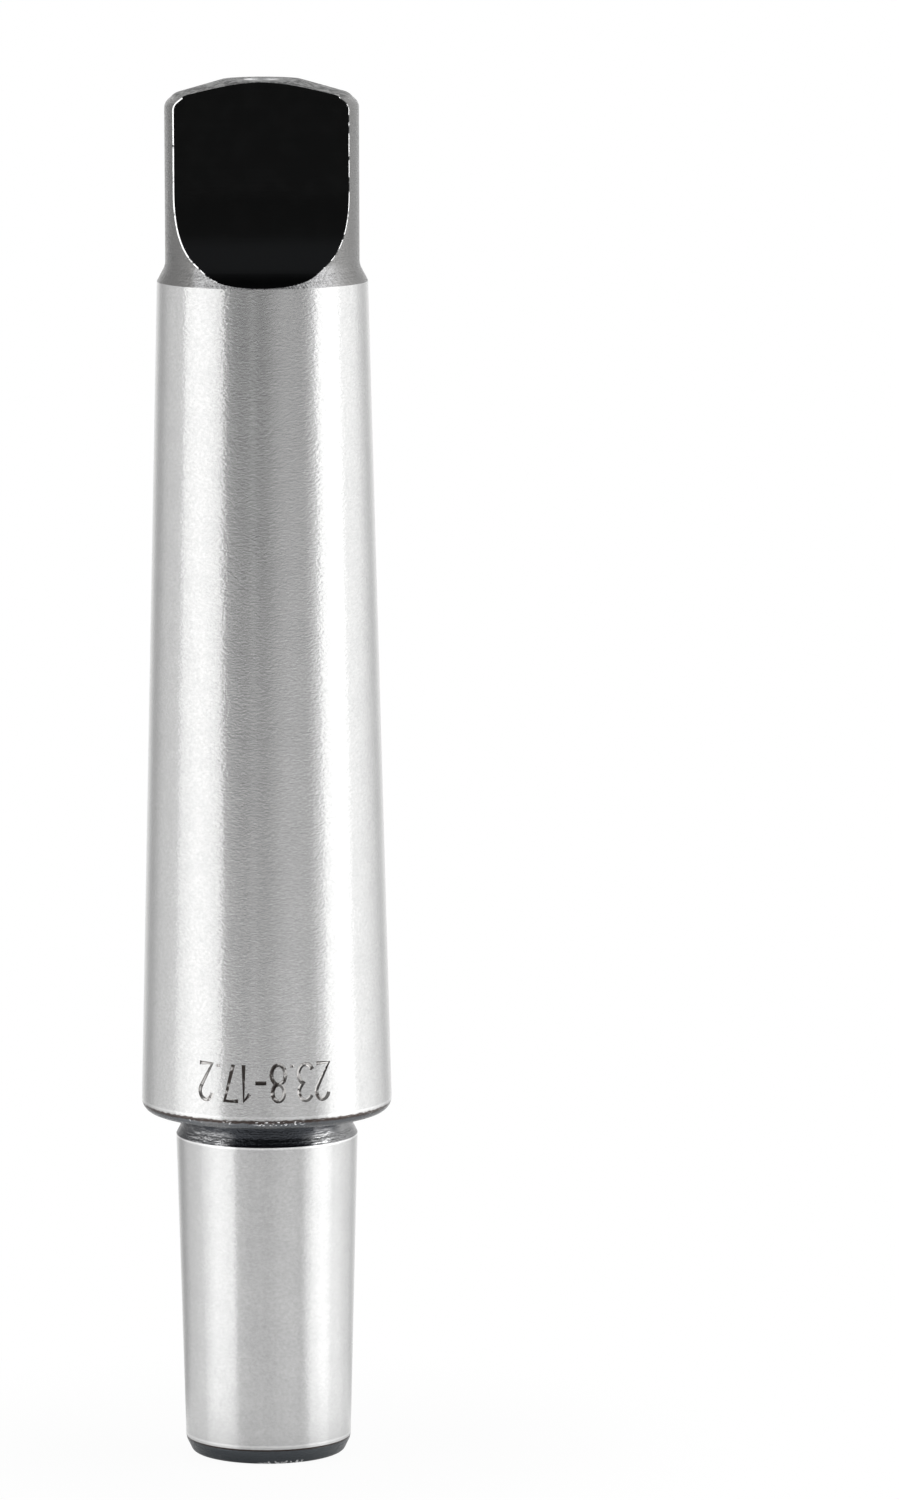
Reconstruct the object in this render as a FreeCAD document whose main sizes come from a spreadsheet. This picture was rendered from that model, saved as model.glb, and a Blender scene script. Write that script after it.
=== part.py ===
import FreeCAD, Part
import math
import os
import Sketcher

# Drill chuck arbor, turned, milled and ground from one steel bar.
# Millimetres. Z is the arbor's axis: the chuck end's face is at Z 0 and the tang points up.
# The tang's two flats face -Y and +Y.

# Driving sizes: alias, value, what it measures.
SIZES = [
    ("chuck_gauge_diameter", 17.17, "No. 6 chuck taper across its gauge plane"),
    ("chuck_gauge_height", 25.4, "gauge plane above the chuck end's face"),
    ("chuck_taper_ratio", 19.264, "length over which the chuck taper grows 1 in diameter"),
    ("end_face_diameter", 14.1, "flat face of the chuck end"),
    ("end_chamfer_height", 1.5, "chamfer round the chuck end's face"),
    ("shoulder_height", 33.4, "chuck end's face to the shoulder under the shank"),
    ("relief_depth", 0.41, "relief groove under the shoulder, below the chuck taper's large end"),
    ("relief_width", 1.45, "straight part of the relief groove"),
    ("relief_run_out", 0.8, "height of the groove's slope down to the chuck taper"),
    ("relief_corner_radius", 0.4, "tool corner where the groove meets the shoulder"),
    ("shank_gauge_diameter", 23.825, "No. 3 shank taper across its gauge plane"),
    ("shank_gauge_offset", 6.05, "shoulder to the shank's gauge plane"),
    ("shank_taper_ratio", 19.922, "length over which the shank taper grows 1 in diameter"),
    ("shank_small_end", 74.0, "gauge plane to the small end of the ground taper"),
    ("shank_corner_radius", 1.2, "round at the shank's large end"),
    ("tang_diameter", 18.5, "turned diameter of the tang"),
    ("tang_root_height", 1.55, "cone from the ground taper in to the tang"),
    ("tang_root_radius", 1.5, "fillet where that cone meets the tang"),
    ("tang_reach", 93.15, "gauge plane to the end of the tang"),
    ("tang_thickness", 7.9, "across the tang's two flats"),
    ("cutter_radius", 9.0, "run-out that the milling cutter leaves under each flat"),
    ("run_out_margin", 0.05, "run-out's end above the small end of the ground taper"),
    ("tang_chamfer_width", 0.9, "corner chamfer at the tang's end, across"),
    ("tang_chamfer_height", 1.0, "corner chamfer at the tang's end, along"),
    ("crown_height", 1.33, "rise of the tang's end cone"),
    ("crown_flat_diameter", 7.5, "flat in the middle of the tang's end"),
    ("tang_centre_mouth", 3.35, "centre hole in the tang, across its mouth"),
    ("tang_centre_pilot", 1.6, "centre hole in the tang, pilot drill"),
    ("tang_centre_depth", 3.0, "centre hole in the tang, depth of the straight pilot"),
    ("chuck_centre_mouth", 5.3, "centre hole in the chuck end, across its mouth"),
    ("chuck_centre_pilot", 2.5, "centre hole in the chuck end, pilot drill"),
    ("chuck_centre_depth", 4.6, "centre hole in the chuck end, depth of the straight pilot"),
]

# Places that several features share, as formulas of the sheet's cells.
CHUCK_GROWTH_AT = "({z} - Sizes.chuck_gauge_height) / Sizes.chuck_taper_ratio"
CHUCK_RADIUS_AT = "(Sizes.chuck_gauge_diameter + " + CHUCK_GROWTH_AT + ") / 2"
GAUGE_PLANE = "(Sizes.shoulder_height + Sizes.shank_gauge_offset)"
SMALL_END = "(" + GAUGE_PLANE + " + Sizes.shank_small_end)"
SMALL_END_RADIUS = "(Sizes.shank_gauge_diameter - Sizes.shank_small_end / Sizes.shank_taper_ratio) / 2"
SHOULDER_RADIUS = "(Sizes.shank_gauge_diameter + Sizes.shank_gauge_offset / Sizes.shank_taper_ratio) / 2"
TANG_END = "(" + GAUGE_PLANE + " + Sizes.tang_reach)"
RELIEF_TOP_OF_SLOPE = "(Sizes.shoulder_height - Sizes.relief_width)"
RELIEF_BOTTOM = "(" + RELIEF_TOP_OF_SLOPE + " - Sizes.relief_run_out)"
RELIEF_RADIUS = "(" + CHUCK_RADIUS_AT.format(z=RELIEF_BOTTOM) + " - Sizes.relief_depth)"

doc = FreeCAD.newDocument("drill_chuck_arbor")

sheet = doc.addObject("Spreadsheet::Sheet", "Sizes")
for row, (alias, value, meaning) in enumerate(SIZES, start=1):
    sheet.set("A%d" % row, meaning)
    sheet.set("B%d" % row, str(value))
    sheet.setAlias("B%d" % row, alias)
doc.recompute()

body = doc.addObject("PartDesign::Body", "arbor")
body.Label = "arbor"
body.Placement = FreeCAD.Placement()


def origin_plane(role):
    """The body's own origin plane that has this role."""
    return next(plane for plane in body.Origin.OriginFeatures if plane.Role == role)


def new_sketch(name, role):
    """A sketch on one of the body's origin planes, its vertical axis along the arbor."""
    sketch = body.newObject("Sketcher::SketchObject", name)
    sketch.AttachmentSupport = [(origin_plane(role), "")]
    sketch.MapMode = "FlatFace"
    return sketch


def tie(sketch, kind, geometry, point, name, formula):
    """Hold a point's distance from the sketch's origin at a formula of the sheet's cells."""
    drawn = sketch.getPoint(geometry, point)
    distance = drawn.x if kind == "DistanceX" else drawn.y
    index = sketch.addConstraint(Sketcher.Constraint(kind, -1, 1, geometry, point, distance))
    sketch.renameConstraint(index, name)
    sketch.setExpression("Constraints." + name, formula)


def draw_outline(sketch, corners):
    """Close a chain of lines through named corners.

    Each corner is a name with its distance from the arbor's axis and its height. None for
    the first puts it on the axis, and None for the second at height 0.
    """
    count = len(corners)
    for index in range(count):
        ends = []
        for step in (index, index + 1):
            angle = 2 * math.pi * step / count
            ends.append(FreeCAD.Vector(math.cos(angle), math.sin(angle), 0))
        sketch.addGeometry(Part.LineSegment(ends[0], ends[1]), False)
    for index in range(count):
        sketch.addConstraint(Sketcher.Constraint("Coincident", index, 2, (index + 1) % count, 1))
    for index, (name, across, height) in enumerate(corners):
        if across is None:
            sketch.addConstraint(Sketcher.Constraint("PointOnObject", index, 1, -2))
        else:
            tie(sketch, "DistanceX", index, 1, name + "_across", across)
        if height is None:
            sketch.addConstraint(Sketcher.Constraint("PointOnObject", index, 1, -1))
        else:
            tie(sketch, "DistanceY", index, 1, name + "_height", height)
    doc.recompute()


def round_corner(sketch, line, radius_alias):
    """Round the corner where this line of the outline ends, with a radius from the sheet."""
    before, after = sketch.Geometry[line], sketch.Geometry[line + 1]
    middle_before = (before.StartPoint + before.EndPoint) / 2
    middle_after = (after.StartPoint + after.EndPoint) / 2
    radius = getattr(sheet, radius_alias)
    sketch.fillet(line, line + 1, middle_before, middle_after, radius, True, True)
    arc = max(index for index, item in enumerate(sketch.Geometry) if isinstance(item, Part.ArcOfCircle))
    index = sketch.addConstraint(Sketcher.Constraint("Radius", arc, radius))
    sketch.renameConstraint(index, radius_alias)
    sketch.setExpression("Constraints." + radius_alias, "Sizes." + radius_alias)
    doc.recompute()


def turn(kind, name, sketch):
    """A full turn of a sketch about the arbor's axis, added or cut away."""
    feature = body.newObject(kind, name)
    feature.Profile = sketch
    feature.ReferenceAxis = (sketch, ["V_Axis"])
    feature.Angle = 360.0
    doc.recompute()


# The turned blank: chuck taper, shank taper, the cone in to the tang, and the tang's crowned end.
blank_sketch = new_sketch("blank_outline", "XZ_Plane")
draw_outline(blank_sketch, [
    ("bottom", None, None),
    ("end_face", "Sizes.end_face_diameter / 2", None),
    ("chuck_small", CHUCK_RADIUS_AT.format(z="Sizes.end_chamfer_height"), "Sizes.end_chamfer_height"),
    ("chuck_large", CHUCK_RADIUS_AT.format(z="Sizes.shoulder_height"), "Sizes.shoulder_height"),
    ("shoulder", SHOULDER_RADIUS, "Sizes.shoulder_height"),
    ("small_end", SMALL_END_RADIUS, SMALL_END),
    ("tang_root", "Sizes.tang_diameter / 2", SMALL_END + " + Sizes.tang_root_height"),
    ("tang_corner", "Sizes.tang_diameter / 2",
     TANG_END + " - Sizes.crown_height - Sizes.tang_chamfer_height"),
    ("crown_rim", "Sizes.tang_diameter / 2 - Sizes.tang_chamfer_width",
     TANG_END + " - Sizes.crown_height"),
    ("crown_flat", "Sizes.crown_flat_diameter / 2", TANG_END),
    ("top", None, TANG_END),
])
SHOULDER_FACE_LINE = 3
ROOT_CONE_LINE = 5
round_corner(blank_sketch, SHOULDER_FACE_LINE, "shank_corner_radius")
round_corner(blank_sketch, ROOT_CONE_LINE, "tang_root_radius")
turn("PartDesign::Revolution", "turned_blank", blank_sketch)

# The relief groove under the shoulder, which lets the chuck seat up to the end of its taper.
# Its slope runs down and out to the surface of the chuck taper.
relief_sketch = new_sketch("relief_outline", "XZ_Plane")
draw_outline(relief_sketch, [
    ("outer_top", CHUCK_RADIUS_AT.format(z="Sizes.shoulder_height"), "Sizes.shoulder_height"),
    ("inner_top", RELIEF_RADIUS, "Sizes.shoulder_height"),
    ("inner_low", RELIEF_RADIUS, RELIEF_TOP_OF_SLOPE),
    ("slope_end", CHUCK_RADIUS_AT.format(z=RELIEF_BOTTOM), RELIEF_BOTTOM),
])
RELIEF_TOP_LINE = 0
round_corner(relief_sketch, RELIEF_TOP_LINE, "relief_corner_radius")
volume_before = body.Shape.Volume
turn("PartDesign::Groove", "relief_groove", relief_sketch)
relief_cut = volume_before - body.Shape.Volume

# One flat of the tang, and its mirror image. The cutter comes down the flat and swings out on
# its own radius, so that the run-out ends just above the ground taper.
HALF_THICKNESS = "Sizes.tang_thickness / 2"
CUT_DEPTH = "(" + SMALL_END_RADIUS + " - " + HALF_THICKNESS + ")"
CUTTER_LOW = ("(" + SMALL_END + " + Sizes.run_out_margin"
              + " + sqrt(Sizes.cutter_radius ^ 2 - (Sizes.cutter_radius - " + CUT_DEPTH + ") ^ 2)"
              + " - Sizes.cutter_radius)")
CUTTER_OUTSIDE = "Sizes.cutter_radius + Sizes.tang_diameter / 2"
CUTTER_TOP = TANG_END + " + Sizes.tang_chamfer_height"
flat_sketch = new_sketch("flat_outline", "YZ_Plane")
draw_outline(flat_sketch, [
    ("flat_top", HALF_THICKNESS, CUTTER_TOP),
    ("flat_low", HALF_THICKNESS, CUTTER_LOW),
    ("outside_low", CUTTER_OUTSIDE, CUTTER_LOW),
    ("outside_top", CUTTER_OUTSIDE, CUTTER_TOP),
])
FLAT_LINE = 0
round_corner(flat_sketch, FLAT_LINE, "cutter_radius")
volume_before = body.Shape.Volume
near_flat = body.newObject("PartDesign::Pocket", "tang_flat")
near_flat.Profile = flat_sketch
near_flat.Type = "ThroughAll"
near_flat.Midplane = True
doc.recompute()
one_flat_cut = volume_before - body.Shape.Volume
far_flat = body.newObject("PartDesign::Mirrored", "opposite_flat")
far_flat.Originals = [near_flat]
far_flat.MirrorPlane = (origin_plane("XZ_Plane"), [""])
body.Tip = far_flat
doc.recompute()
both_flats_cut = volume_before - body.Shape.Volume

# The centre holes at both ends, drilled for turning and grinding the arbor between centres:
# a 60 degree seat, a straight pilot and the drill's 118 degree point.
SEAT_DEPTH_PER_WIDTH = "sqrt(3)"
POINT_DEPTH_PER_RADIUS = "tan(31 deg)"


def drill_centre(end, face, inwards):
    """Cut one end's centre hole. Inwards is + where the hole rises from its face, - where it drops."""
    mouth = "Sizes.%s_centre_mouth / 2" % end
    pilot = "Sizes.%s_centre_pilot / 2" % end
    straight = "Sizes.%s_centre_depth" % end
    depths = {
        "seat_end": "(%s - %s) * %s" % (mouth, pilot, SEAT_DEPTH_PER_WIDTH),
        "pilot_end": straight,
        "tip": "%s + %s * %s" % (straight, pilot, POINT_DEPTH_PER_RADIUS),
    }
    heights = {name: "%s %s (%s)" % (face or "0", inwards, depth) for name, depth in depths.items()}
    sketch = new_sketch(end + "_centre_outline", "XZ_Plane")
    draw_outline(sketch, [
        ("middle", None, face),
        ("rim", mouth, face),
        ("seat_end", pilot, heights["seat_end"]),
        ("pilot_end", pilot, heights["pilot_end"]),
        ("tip", None, heights["tip"]),
    ])
    before = body.Shape.Volume
    turn("PartDesign::Groove", end + "_centre", sketch)
    return before - body.Shape.Volume


tang_centre_cut = drill_centre("tang", TANG_END, "-")
chuck_centre_cut = drill_centre("chuck", None, "+")

# Every cut has to take metal away, and the two flats the same amount.
SAME_VOLUME = 0.001
cuts = {
    "relief groove": relief_cut,
    "first flat": one_flat_cut,
    "second flat": both_flats_cut - one_flat_cut,
    "tang centre": tang_centre_cut,
    "chuck centre": chuck_centre_cut,
}
for cut_name, removed in cuts.items():
    print("%s removes %.2f mm3" % (cut_name, removed))
    if removed <= 0:
        raise RuntimeError(cut_name + " cut nothing")
if abs(both_flats_cut - 2 * one_flat_cut) > SAME_VOLUME * one_flat_cut:
    raise RuntimeError("the tang's two flats differ")
for item in doc.Objects:
    if "Invalid" in item.State or "Error" in item.State:
        raise RuntimeError(item.Name + " failed: " + ", ".join(item.State))
if body.Shape.isNull() or not body.Shape.isValid() or len(body.Shape.Solids) != 1:
    raise RuntimeError(body.Label + " isn't one valid solid")

os.makedirs("parts", exist_ok=True)
body.Shape.exportStep(os.path.join("parts", body.Label + ".step"))
extent = body.Shape.optimalBoundingBox()
print("%s: %.1f mm3, %.3f x %.3f x %.3f mm" % (
    body.Label, body.Shape.Volume, extent.XLength, extent.YLength, extent.ZLength))
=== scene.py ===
import math

import bmesh
import bpy
from mathutils import Matrix, Vector


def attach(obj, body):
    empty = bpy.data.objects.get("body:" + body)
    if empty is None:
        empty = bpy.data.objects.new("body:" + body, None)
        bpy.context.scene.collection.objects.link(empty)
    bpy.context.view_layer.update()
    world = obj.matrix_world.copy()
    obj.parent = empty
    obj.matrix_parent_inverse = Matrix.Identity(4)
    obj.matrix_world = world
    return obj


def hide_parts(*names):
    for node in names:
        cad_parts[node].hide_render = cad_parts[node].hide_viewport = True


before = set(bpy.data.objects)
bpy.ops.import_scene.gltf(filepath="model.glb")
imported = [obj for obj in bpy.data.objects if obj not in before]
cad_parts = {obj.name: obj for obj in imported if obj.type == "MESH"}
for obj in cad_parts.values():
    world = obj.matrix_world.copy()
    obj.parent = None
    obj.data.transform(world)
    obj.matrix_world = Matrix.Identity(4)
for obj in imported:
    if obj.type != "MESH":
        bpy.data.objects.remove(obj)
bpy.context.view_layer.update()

# The arbor's turned blank: one bar of steel with the No. 6 chuck taper, 1 in 19.264, at the
# bottom, the No. 3 shank taper, 1 in 19.922, above it and the tang on top. It was turned and
# drilled between centres, blacked, and then ground on the two tapers alone.
MM = 0.001

CHUCK_GAUGE_DIAMETER = 17.17
CHUCK_GAUGE_HEIGHT = 25.4
CHUCK_TAPER_RATIO = 19.264
END_FACE_RADIUS = 7.3
END_FACE_ROUND = 0.5
END_CHAMFER_ROUND = 1.2
END_CHAMFER_TOP = 1.35
RELIEF_BOTTOM = 31.15
RELIEF_SLOPE_TOP = 31.95
RELIEF_DEPTH = 0.41
RELIEF_CORNER = 0.4
SHOULDER_HEIGHT = 33.4
SHANK_CORNER = 1.2
SHANK_GAUGE_DIAMETER = 23.825
SHANK_GAUGE_HEIGHT = 39.45
SHANK_TAPER_RATIO = 19.922
SMALL_END = 113.45
TANG_RADIUS = 9.25
TANG_ROOT = 115.0
TANG_ROOT_FILLET = 1.5
TANG_CHAMFER_LOW = 130.4
CROWN_RIM_RADIUS = 8.25
CROWN_RIM = 131.3
TANG_CORNER = 1.0
CROWN_FLAT_RADIUS = 3.75
TANG_END = 132.6
TANG_CENTRE_MOUTH = 1.675
TANG_CENTRE_PILOT = 0.8
TANG_CENTRE_DEPTH = 3.0
CHUCK_CENTRE_MOUTH = 2.65
CHUCK_CENTRE_PILOT = 1.25
CHUCK_CENTRE_DEPTH = 4.6
EDGE_BREAK = 0.06
SEAT_DEPTH_PER_WIDTH = math.sqrt(3)
DRILL_POINT_ANGLE = math.radians(31)
GROUND_EDGE = 34.25
END_GROUND_EDGE = 1.55
LATHE_STEPS = 128


def chuck_radius(height):
    return (CHUCK_GAUGE_DIAMETER + (height - CHUCK_GAUGE_HEIGHT) / CHUCK_TAPER_RATIO) / 2


def shank_radius(height):
    return (SHANK_GAUGE_DIAMETER - (height - SHANK_GAUGE_HEIGHT) / SHANK_TAPER_RATIO) / 2


def point_depth(pilot):
    """How far the drill's 118 degree point reaches below a pilot hole of this radius."""
    return pilot * math.tan(DRILL_POINT_ANGLE)


def seat_depth(mouth, pilot):
    return (mouth - pilot) * SEAT_DEPTH_PER_WIDTH


relief_radius = chuck_radius(RELIEF_BOTTOM) - RELIEF_DEPTH

# Each corner of the half outline: distance from the axis, height, and the radius of its round.
OUTLINE = [
    (0, CHUCK_CENTRE_DEPTH + point_depth(CHUCK_CENTRE_PILOT), 0),
    (CHUCK_CENTRE_PILOT, CHUCK_CENTRE_DEPTH, 0),
    (CHUCK_CENTRE_PILOT, seat_depth(CHUCK_CENTRE_MOUTH, CHUCK_CENTRE_PILOT), 0),
    (CHUCK_CENTRE_MOUTH, 0, EDGE_BREAK),
    (END_FACE_RADIUS, 0, END_FACE_ROUND),
    (chuck_radius(END_CHAMFER_TOP), END_CHAMFER_TOP, END_CHAMFER_ROUND),
    (chuck_radius(RELIEF_BOTTOM), RELIEF_BOTTOM, EDGE_BREAK),
    (relief_radius, RELIEF_SLOPE_TOP, 0.2),
    (relief_radius, SHOULDER_HEIGHT, RELIEF_CORNER),
    (shank_radius(SHOULDER_HEIGHT), SHOULDER_HEIGHT, SHANK_CORNER),
    (shank_radius(SMALL_END), SMALL_END, EDGE_BREAK),
    (TANG_RADIUS, TANG_ROOT, TANG_ROOT_FILLET),
    (TANG_RADIUS, TANG_CHAMFER_LOW, TANG_CORNER),
    (CROWN_RIM_RADIUS, CROWN_RIM, TANG_CORNER),
    (CROWN_FLAT_RADIUS, TANG_END, 0.3),
    (TANG_CENTRE_MOUTH, TANG_END, EDGE_BREAK),
    (TANG_CENTRE_PILOT, TANG_END - seat_depth(TANG_CENTRE_MOUTH, TANG_CENTRE_PILOT), 0),
    (TANG_CENTRE_PILOT, TANG_END - TANG_CENTRE_DEPTH, 0),
    (0, TANG_END - TANG_CENTRE_DEPTH - point_depth(TANG_CENTRE_PILOT), 0),
]

# Rings of edges round the blank: where the grinding stops, on both sides of the mark, and up
# the long taper.
RING_HEIGHTS = (END_GROUND_EDGE, GROUND_EDGE, 35.9, 40.3, 60, 80, 100)

# The order of the arbor's material slots.
BLACKED, GROUND, MILLED, WORN, ENGRAVED = range(5)


def rounded_chain(bm, corners, place, segments=6):
    """A chain of edges through the corners, each rounded by its own radius.

    place turns a corner's two numbers, in millimetres, into a point.
    """
    points = [Vector(corner[:2]) for corner in corners]
    verts = [bm.verts.new(place(point.x * MM, point.y * MM)) for point in points]
    for first, second in zip(verts, verts[1:]):
        bm.edges.new((first, second))
    for index in range(1, len(corners) - 1):
        radius = corners[index][2]
        if radius:
            before = points[index] - points[index - 1]
            after = points[index + 1] - points[index]
            reach = radius * math.tan(before.angle(after) / 2)
            bmesh.ops.bevel(
                bm, geom=[verts[index]], offset=reach * MM, offset_type="OFFSET",
                segments=segments, profile=0.5, affect="VERTICES", material=-1)


def in_half_plane(across, height):
    return (across, 0, height)


bm = bmesh.new()
rounded_chain(bm, OUTLINE, in_half_plane)
bmesh.ops.spin(
    bm, geom=bm.verts[:] + bm.edges[:], cent=(0, 0, 0), axis=(0, 0, 1),
    angle=2 * math.pi, steps=LATHE_STEPS, use_merge=True)
bmesh.ops.remove_doubles(bm, verts=bm.verts[:], dist=0.0005 * MM)
for height in RING_HEIGHTS:
    bmesh.ops.bisect_plane(
        bm, geom=bm.verts[:] + bm.edges[:] + bm.faces[:], dist=0.0001 * MM,
        plane_co=(0, 0, height * MM), plane_no=(0, 0, 1))
bmesh.ops.recalc_face_normals(bm, faces=bm.faces[:])

# Both tapers are ground between these heights. What is nearer the axis is a centre hole.
GROUND_ZONES = [(END_GROUND_EDGE, RELIEF_BOTTOM), (GROUND_EDGE, SMALL_END)]
GROUND_FROM_AXIS = 6.25
for face in bm.faces:
    height = face.calc_center_median().z / MM
    from_axis = face.calc_center_median().xy.length / MM
    on_taper = any(low < height < high for low, high in GROUND_ZONES) and from_axis > GROUND_FROM_AXIS
    face.material_index = GROUND if on_taper else BLACKED

blacked_steel = bpy.data.materials.new("blacked_steel")
ground_steel = bpy.data.materials.new("ground_steel")
milled_flat = bpy.data.materials.new("milled_flat")
worn_edge = bpy.data.materials.new("worn_edge")
engraved_groove = bpy.data.materials.new("engraved_groove")
ARBOR_FINISHES = [blacked_steel, ground_steel, milled_flat, worn_edge, engraved_groove]


def new_piece(name, bm, materials):
    """An object made from the bmesh, at the origin, with these materials in its slots."""
    mesh = bpy.data.meshes.new(name)
    bm.to_mesh(mesh)
    bm.free()
    for material in materials:
        mesh.materials.append(material)
    piece = bpy.data.objects.new(name, mesh)
    bpy.context.scene.collection.objects.link(piece)
    return piece


def keep_modifiers(piece):
    """Make the mesh that the piece's modifiers give its own."""
    graph = bpy.context.evaluated_depsgraph_get()
    finished = bpy.data.meshes.new_from_object(piece.evaluated_get(graph), depsgraph=graph)
    piece.modifiers.clear()
    piece.data = finished


def cut_away(piece, cutter):
    """Cut the cutter's shape out of the piece, and remove the cutter."""
    cut = piece.modifiers.new("cut", "BOOLEAN")
    cut.operation = "DIFFERENCE"
    cut.solver = "EXACT"
    cut.use_self = True
    cut.object = cutter
    keep_modifiers(piece)
    bpy.data.objects.remove(cutter)


arbor = new_piece("arbor_body", bm, ARBOR_FINISHES)

# The tang's two flats, milled on opposite sides. The cutter swings out on its own radius and
# leaves a run-out that dies away just above the ground taper.
TANG_HALF_THICKNESS = 3.95
CUTTER_RADIUS = 9.0
RUN_OUT_MARGIN = 0.05
CUTTER_HALF_LENGTH = TANG_RADIUS * 1.3
CLEAR_OF_TANG = 1.0

cut_depth = shank_radius(SMALL_END) - TANG_HALF_THICKNESS
swing = math.sqrt(CUTTER_RADIUS ** 2 - (CUTTER_RADIUS - cut_depth) ** 2)
cutter_low = SMALL_END + RUN_OUT_MARGIN + swing - CUTTER_RADIUS


def in_side_plane(across, height):
    return (-CUTTER_HALF_LENGTH * MM, across, height)


bm = bmesh.new()
rounded_chain(bm, [
    (TANG_HALF_THICKNESS, TANG_END + CLEAR_OF_TANG, 0),
    (TANG_HALF_THICKNESS, cutter_low, CUTTER_RADIUS),
    (TANG_RADIUS + 2 * CUTTER_RADIUS, cutter_low, 0),
    (TANG_RADIUS + 2 * CUTTER_RADIUS, TANG_END + CLEAR_OF_TANG, 0),
], in_side_plane, segments=40)
ends = [vert for vert in bm.verts if len(vert.link_edges) == 1]
bm.edges.new(ends)
side = bmesh.ops.contextual_create(bm, geom=bm.edges[:])["faces"]
reach = bmesh.ops.extrude_face_region(bm, geom=side)["geom"]
bmesh.ops.translate(
    bm, verts=[item for item in reach if isinstance(item, bmesh.types.BMVert)],
    vec=(2 * CUTTER_HALF_LENGTH * MM, 0, 0))
bmesh.ops.mirror(bm, geom=bm.verts[:] + bm.edges[:] + bm.faces[:], axis="Y", merge_dist=-1)
bmesh.ops.recalc_face_normals(bm, faces=bm.faces[:])
for face in bm.faces:
    face.material_index = MILLED
cut_away(arbor, new_piece("flat_cutter", bm, ARBOR_FINISHES))

# The stoned edges are two narrow strips inside each flat's rim. The left edge, as one faces
# the flat, is worn bright over both of them and the right edge over the outer one. A strip
# that isn't worn looks like the flat, and is only marked until both strips are cut.
OUTER_STONING = 0.06
INNER_STONING = 0.07
WORN_FROM = 4.0
WORN_BELOW = CROWN_RIM - 0.3
STONED = len(ARBOR_FINISHES)

bm = bmesh.new()
bm.from_mesh(arbor.data)
bmesh.ops.remove_doubles(bm, verts=bm.verts[:], dist=0.004 * MM)
for strip_width, on_both_sides in ((OUTER_STONING, True), (INNER_STONING, False)):
    flats = [face for face in bm.faces if face.material_index == MILLED and face.calc_area() > 0]
    strip = bmesh.ops.inset_region(
        bm, faces=flats, thickness=strip_width * MM, use_boundary=True, use_even_offset=True)["faces"]
    for face in strip:
        middle = face.calc_center_median()
        at_side = middle.z < WORN_BELOW * MM and abs(middle.x) > WORN_FROM * MM
        left_hand = middle.x * middle.y > 0
        face.material_index = WORN if at_side and (on_both_sides or left_hand) else STONED
for face in bm.faces:
    if face.material_index == STONED:
        face.material_index = MILLED
bm.to_mesh(arbor.data)
bm.free()

# The engraved sizes: the large-end diameters of both tapers, in millimetres, cut with one
# round-nosed stroke near the shank's large end. They read upright when the tang points down.
MARK_TEXT = "23.8-17.2"
MARK_HEIGHT = 3.5
MARK_MIDDLE = 38.0
MARK_GAP = 0.14
STROKE_WIDTH = 0.42
STROKE_DEPTH = 0.12


def arc(middle, half_size, start, end, steps=10):
    """Points along part of an ellipse, from one angle to another in degrees."""
    points = []
    for step in range(steps + 1):
        angle = math.radians(start + (end - start) * step / steps)
        across = middle[0] + half_size[0] * math.cos(angle)
        points.append((across, middle[1] + half_size[1] * math.sin(angle)))
    return points


# Each figure's width and strokes, with the figure's height as 1.
FIGURES = {
    "1": (0.20, [[(0.02, 0.80), (0.18, 1.0), (0.18, 0.0)]]),
    "2": (0.38, [arc((0.19, 0.77), (0.19, 0.23), 170, -30) + [(0.0, 0.0), (0.38, 0.0)]]),
    "3": (0.38, [
        arc((0.17, 0.76), (0.19, 0.24), 155, -75) + arc((0.17, 0.27), (0.21, 0.27), 75, -155)]),
    "7": (0.38, [[(0.0, 1.0), (0.38, 1.0), (0.13, 0.0)]]),
    "8": (0.38, [
        arc((0.19, 0.765), (0.16, 0.235), 0, 360, 18),
        arc((0.19, 0.27), (0.19, 0.27), 0, 360, 18)]),
    ".": (0.08, [[(0.04, 0.0), (0.04, 0.08)]]),
    "-": (0.30, [[(0.0, 0.5), (0.30, 0.5)]]),
}
mark_length = sum(FIGURES[figure][0] for figure in MARK_TEXT) + MARK_GAP * (len(MARK_TEXT) - 1)
nose_radius = (STROKE_WIDTH ** 2 / 4 + STROKE_DEPTH ** 2) / (2 * STROKE_DEPTH)


def on_shank(across, up):
    """A point of the mark, in figure heights from its lower left, on the shank's surface."""
    height = MARK_MIDDLE - (up - 0.5) * MARK_HEIGHT
    radius = shank_radius(height)
    turn = (mark_length / 2 - across) * MARK_HEIGHT / radius
    distance = radius + nose_radius - STROKE_DEPTH
    return Vector((math.sin(turn), -math.cos(turn), height / distance)) * distance * MM


strokes = bpy.data.curves.new("mark_strokes", "CURVE")
strokes.dimensions = "3D"
strokes.bevel_depth = nose_radius * MM
strokes.bevel_resolution = 2
strokes.use_fill_caps = True
reached = 0.0
for figure in MARK_TEXT:
    width, lines = FIGURES[figure]
    for line in lines:
        closed = (Vector(line[0]) - Vector(line[-1])).length < 1e-6
        points = line[:-1] if closed else line
        spline = strokes.splines.new("POLY")
        spline.points.add(len(points) - 1)
        spline.use_cyclic_u = closed
        for spot, (across, up) in zip(spline.points, points):
            spot.co = on_shank(reached + across, up).to_4d()
    reached += width + MARK_GAP
stroke_tubes = bpy.data.objects.new("mark_strokes", strokes)
bpy.context.scene.collection.objects.link(stroke_tubes)
bpy.context.view_layer.update()
tube_mesh = bpy.data.meshes.new_from_object(stroke_tubes)
bpy.data.objects.remove(stroke_tubes)
bm = bmesh.new()
bm.from_mesh(tube_mesh)
bmesh.ops.remove_doubles(bm, verts=bm.verts[:], dist=0.001 * MM)
bmesh.ops.recalc_face_normals(bm, faces=bm.faces[:])
for face in bm.faces:
    face.material_index = ENGRAVED
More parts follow.
